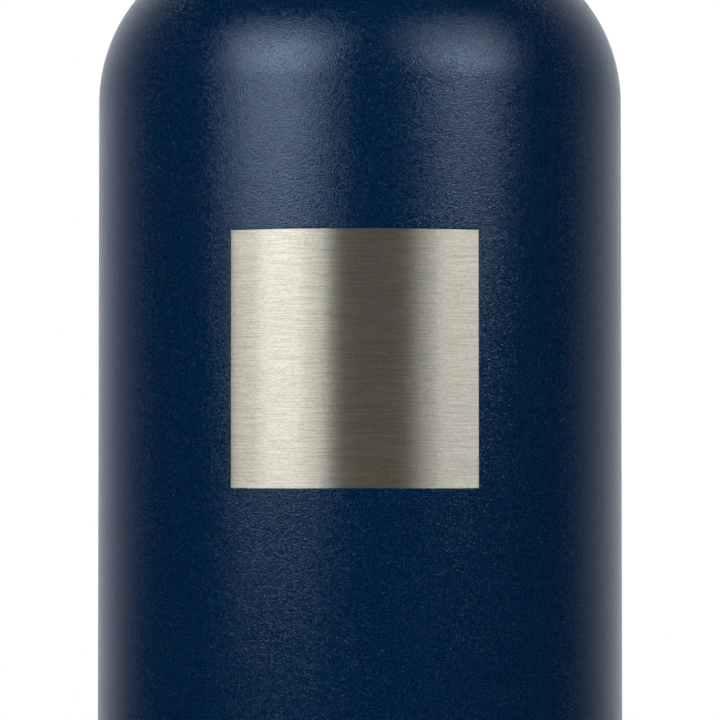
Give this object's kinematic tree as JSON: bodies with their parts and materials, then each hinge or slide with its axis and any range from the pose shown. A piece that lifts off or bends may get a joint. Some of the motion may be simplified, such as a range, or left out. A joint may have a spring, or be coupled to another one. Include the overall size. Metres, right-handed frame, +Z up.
{
  "type": "insulated water bottle",
  "caption": "Double-wall vacuum water bottle with dark powder coat, a bare brushed square, a screw lid with a smaller drinking cap on a spout, and a swing handle.",
  "frame": {"origin": "on the ground at the centre of the foot", "axes": "+Z up along the bottle's axis; the bare square faces -Y; the handle's pins lie along X"},
  "size_m": [0.073, 0.073, 0.2912],
  "materials": {
    "powder_coat": "polyester powder coat, dark navy, fine orange-peel texture, satin sheen",
    "shell_steel": "brushed stainless steel, warm grey, brushed round the body",
    "liner_steel": "stainless steel, electropolished satin",
    "base_steel": "stainless steel, spun rings",
    "foil": "thin crinkled reflective foil",
    "bead_glass": "dark solder glass",
    "getter_pill": "pressed metal powder, dull grey",
    "gasket_rubber": "soft silicone, dark grey, matte",
    "lid_black": "moulded polypropylene, black, fine spark-eroded grain",
    "foam": "rigid insulating foam",
    "pin_steel": "turned stainless steel",
    "washer_plastic": "natural acetal",
    "disc_steel": "stainless steel, circular brushing",
    "handle_black": "moulded nylon, black, fine spark-eroded grain",
    "grip_rubber": "soft-touch elastomer, dark grey, matte"
  },
  "bodies": {
    "flask": {"outer_shell": "shell_steel", "powder_coat": "powder_coat", "inner_flask": "liner_steel", "inner_base": "liner_steel", "reflective_foil": "foil", "base_cup": "base_steel", "vacuum_seal": "bead_glass", "getter": "getter_pill", "getter_clip": "pin_steel"},
    "lid_seal": {"lid_gasket": "gasket_rubber"},
    "lid": {"lid_plug": "lid_black", "lid_spout": "lid_black", "lid_floor": "lid_black", "lid_foam": "foam", "lid_collar": "lid_black", "pivot_pin_left": "pin_steel", "pivot_pin_right": "pin_steel", "pivot_washer_left": "washer_plastic", "pivot_washer_right": "washer_plastic"},
    "cap_seal": {"cap_gasket": "gasket_rubber"},
    "cap": {"cap_liner": "lid_black", "cap_foam": "foam", "cap_shell": "lid_black", "cap_disc": "disc_steel"},
    "handle": {"handle_arch": "handle_black", "handle_grip": "grip_rubber"}
  },
  "joints": [
    {"name": "lid_rise", "type": "slide", "parent": "flask", "child": "lid_seal", "axis": [0, 0, 1], "range_m": [0, 0.02001]},
    {"name": "lid_turn", "type": "hinge", "parent": "lid_seal", "child": "lid", "pos_m": [0, 0, 0.23402], "axis": [0, 0, 1], "range_deg": [0, 1440]},
    {"name": "cap_rise", "type": "slide", "parent": "lid", "child": "cap_seal", "axis": [0, 0, 1], "range_m": [0, 0.01201]},
    {"name": "cap_turn", "type": "hinge", "parent": "cap_seal", "child": "cap", "pos_m": [0, 0, 0.25852], "axis": [0, 0, 1], "range_deg": [0, 1080]},
    {"name": "handle_swing", "type": "hinge", "parent": "lid", "child": "handle", "pos_m": [0, 0, 0.24082], "axis": [1, 0, 0], "range_deg": [-90, 90]}
  ],
  "couplings": [
    {"joint": "lid_rise", "follows": "lid_turn", "m_per_rad": 0.00079577},
    {"joint": "cap_rise", "follows": "cap_turn", "m_per_rad": 0.00063662}
  ]
}
